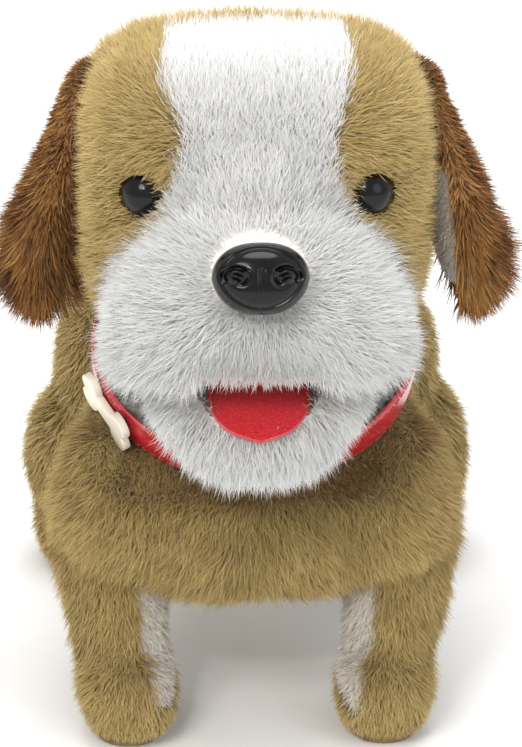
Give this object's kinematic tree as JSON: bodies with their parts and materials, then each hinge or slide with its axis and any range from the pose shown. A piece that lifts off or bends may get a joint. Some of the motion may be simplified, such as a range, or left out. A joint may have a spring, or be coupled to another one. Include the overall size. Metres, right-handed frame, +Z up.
{
  "type": "interactive plush puppy",
  "caption": "Battery plush puppy with padded fabric over a geared plastic case, linked walking legs, nodding head, hinged jaw, hanging ears, collar and wagging tail.",
  "frame": {"origin": "centre of the bounding box's base, on the floor between the paws", "axes": "+Z up, -Y towards the nose, +X to the puppy's own left"},
  "size_m": [0.1158, 0.2072, 0.1745],
  "materials": {
    "tan_plush": "soft short pile",
    "white_plush": "soft short pile",
    "brown_plush": "wavy pile",
    "white_nap": "short nap",
    "red_felt": "felt",
    "black_gloss": "gloss",
    "red_strap": "satin",
    "cream_plastic": "satin",
    "case_plastic": "moulded",
    "dark_plastic": "moulded",
    "gear_plastic": "moulded",
    "steel": "plain",
    "green_board": "satin",
    "speaker_metal": "satin",
    "cell_wrap": "gloss",
    "sole_rubber": "matte"
  },
  "bodies": {
    "torso": {"body_skin": "tan_plush", "case_left": "case_plastic", "case_right": "case_plastic", "case_screws": "steel", "battery_tray": "dark_plastic", "cells": "cell_wrap", "battery_contacts": "steel", "circuit_board": "green_board", "speaker": "speaker_metal", "motor": "steel", "nod_pin": "steel", "leg_axles": "steel", "gear_axles": "steel", "collar_strap": "red_strap", "collar_bone": "cream_plastic", "tail_pin": "steel"},
    "head": {"head_skin": "tan_plush", "skull_front": "case_plastic", "skull_back": "case_plastic", "nose": "black_gloss", "eye_left": "black_gloss", "eye_right": "black_gloss", "face_washers": "case_plastic", "mouth_lining": "red_felt", "neck_lever": "case_plastic", "skull_screws": "steel", "jaw_pin": "steel"},
    "jaw": {"jaw_lever": "case_plastic", "jaw_skin": "white_plush", "tongue": "red_felt"},
    "ear_left": {"ear_left_pile": "brown_plush", "ear_left_lining": "white_nap"},
    "ear_right": {"ear_right_pile": "brown_plush", "ear_right_lining": "white_nap"},
    "tail": {"tail_lever": "case_plastic", "tail_skin": "tan_plush"},
    "left_link": {"left_link": "dark_plastic"},
    "right_link": {"right_link": "dark_plastic"},
    "crank": {"crank_gear": "gear_plastic", "crank_shaft": "steel", "cranks": "gear_plastic"},
    "second_gear": {"second_gear": "gear_plastic"},
    "first_gear": {"first_gear": "gear_plastic"},
    "pinion": {"motor_pinion": "gear_plastic"},
    "battery_door": {"battery_door": "case_plastic", "door_screw": "steel"},
    "power_switch": {"power_switch": "dark_plastic"},
    "pat_button": {"pat_button": "case_plastic"},
    "front_left_leg": {"front_left_lever": "case_plastic", "front_left_skin": "tan_plush", "front_left_sole": "sole_rubber"},
    "front_right_leg": {"front_right_lever": "case_plastic", "front_right_skin": "tan_plush", "front_right_sole": "sole_rubber"},
    "rear_left_leg": {"rear_left_lever": "case_plastic", "rear_left_skin": "tan_plush", "rear_left_sole": "sole_rubber"},
    "rear_right_leg": {"rear_right_lever": "case_plastic", "rear_right_skin": "tan_plush", "rear_right_sole": "sole_rubber"}
  },
  "joints": [
    {"name": "head_nod", "type": "hinge", "parent": "torso", "child": "head", "pos_m": [0, -0.035, 0.096], "axis": [1, 0, 0], "range_deg": [-4, 3]},
    {"name": "jaw_open", "type": "hinge", "parent": "head", "child": "jaw", "pos_m": [0, -0.048, 0.104], "axis": [1, 0, 0], "range_deg": [-8, 1]},
    {"name": "ear_left_flap", "type": "hinge", "parent": "head", "child": "ear_left", "pos_m": [0.042, -0.032, 0.163], "axis": [0, -1, 0], "range_deg": [0, 40]},
    {"name": "ear_right_flap", "type": "hinge", "parent": "head", "child": "ear_right", "pos_m": [-0.042, -0.032, 0.163], "axis": [0, 1, 0], "range_deg": [0, 40]},
    {"name": "tail_wag", "type": "hinge", "parent": "torso", "child": "tail", "pos_m": [0, 0.0785, 0.089], "axis": [0, 0, 1], "range_deg": [-25, 25]},
    {"name": "leg_swing", "type": "hinge", "parent": "torso", "child": "front_left_leg", "pos_m": [0.0285, -0.04, 0.066], "axis": [1, 0, 0], "range_deg": [-12, 12]},
    {"name": "front_right_swing", "type": "hinge", "parent": "torso", "child": "front_right_leg", "pos_m": [-0.0285, -0.04, 0.066], "axis": [1, 0, 0], "range_deg": [-12, 12]},
    {"name": "rear_left_swing", "type": "hinge", "parent": "torso", "child": "rear_left_leg", "pos_m": [0.0285, 0.06, 0.066], "axis": [1, 0, 0], "range_deg": [-12, 12]},
    {"name": "rear_right_swing", "type": "hinge", "parent": "torso", "child": "rear_right_leg", "pos_m": [-0.0285, 0.06, 0.066], "axis": [1, 0, 0], "range_deg": [-12, 12]},
    {"name": "left_link_pin", "type": "hinge", "parent": "front_left_leg", "child": "left_link", "pos_m": [0.0314, -0.04, 0.0775], "axis": [1, 0, 0], "range_deg": [-12, 12]},
    {"name": "right_link_pin", "type": "hinge", "parent": "front_right_leg", "child": "right_link", "pos_m": [-0.0314, -0.04, 0.0775], "axis": [1, 0, 0], "range_deg": [-12, 12]},
    {"name": "crank_turn", "type": "hinge", "parent": "torso", "child": "crank", "pos_m": [0, 0.01375, 0.08], "axis": [1, 0, 0], "continuous": true},
    {"name": "second_gear_turn", "type": "hinge", "parent": "torso", "child": "second_gear", "pos_m": [0.0197, -0.00235, 0.08], "axis": [1, 0, 0], "continuous": true},
    {"name": "first_gear_turn", "type": "hinge", "parent": "torso", "child": "first_gear", "pos_m": [0.0145, -0.01635, 0.08], "axis": [1, 0, 0], "continuous": true},
    {"name": "pinion_turn", "type": "hinge", "parent": "torso", "child": "pinion", "pos_m": [0.0125, -0.03, 0.08], "axis": [1, 0, 0], "continuous": true},
    {"name": "battery_door_open", "type": "hinge", "parent": "torso", "child": "battery_door", "pos_m": [0, -0.002, 0.0419], "axis": [1, 0, 0], "range_deg": [-70, 0]},
    {"name": "power_switch_slide", "type": "slide", "parent": "torso", "child": "power_switch", "axis": [1, 0, 0], "range_m": [0, 0.004]},
    {"name": "pat_button_press", "type": "slide", "parent": "torso", "child": "pat_button", "axis": [0, 0, -1], "range_m": [0, 0.0014], "stiffness_N_per_m": 500, "springref_m": -0.0004}
  ],
  "couplings": [
    {"joint": "front_right_swing", "follows": "leg_swing", "ratio": -1},
    {"joint": "rear_left_swing", "follows": "leg_swing", "ratio": 1},
    {"joint": "rear_right_swing", "follows": "leg_swing", "ratio": -1},
    {"joint": "left_link_pin", "follows": "leg_swing", "ratio": -1},
    {"joint": "right_link_pin", "follows": "leg_swing", "ratio": 1},
    {"joint": "second_gear_turn", "follows": "crank_turn", "ratio": -3.6},
    {"joint": "first_gear_turn", "follows": "crank_turn", "ratio": 10.8},
    {"joint": "pinion_turn", "follows": "crank_turn", "ratio": -36}
  ]
}
